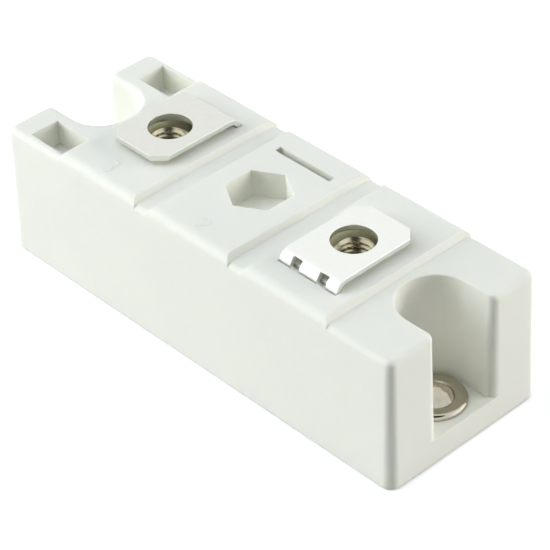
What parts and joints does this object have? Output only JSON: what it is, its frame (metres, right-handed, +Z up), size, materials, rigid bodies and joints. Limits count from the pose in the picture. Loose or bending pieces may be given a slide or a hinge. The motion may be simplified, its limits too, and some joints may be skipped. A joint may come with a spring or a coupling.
{
  "type": "power diode module",
  "caption": "Low block-shaped power diode module with screw terminals over captive nuts, a ceramic base face and open slots at both ends for mounting screws.",
  "frame": {"origin": "centre of the base face that lies on the heat sink", "axes": "+X along the length towards the lugs without sockets, +Y across, +Z up out of the base"},
  "size_m": [0.094, 0.034, 0.0285],
  "materials": {
    "moulded_plastic": "moulded, semi-matte",
    "plated_terminal": "rolled sheet, matt plated",
    "plated_steel": "nickel plated",
    "copper": "bare copper",
    "ceramic": "sintered, matt",
    "solder": "reflowed solder",
    "silicon": "polished silicon",
    "silicone": "clear soft silicone"
  },
  "bodies": {
    "root": {"housing": "moulded_plastic", "terminal_left": "plated_terminal", "terminal_right": "plated_terminal", "nut_left": "plated_steel", "nut_right": "plated_steel", "bush_left": "plated_steel", "bush_right": "plated_steel", "base_copper": "copper", "ceramic_plate": "ceramic", "sealing_adhesive": "silicone", "track_left": "copper", "track_right": "copper", "terminal_solder_left": "solder", "terminal_solder_right": "solder", "chip_solder": "solder", "diode_chip": "silicon", "clip_solder_chip": "solder", "clip_solder_track": "solder", "copper_clip": "copper", "silicone_gel": "silicone"}
  },
  "joints": []
}
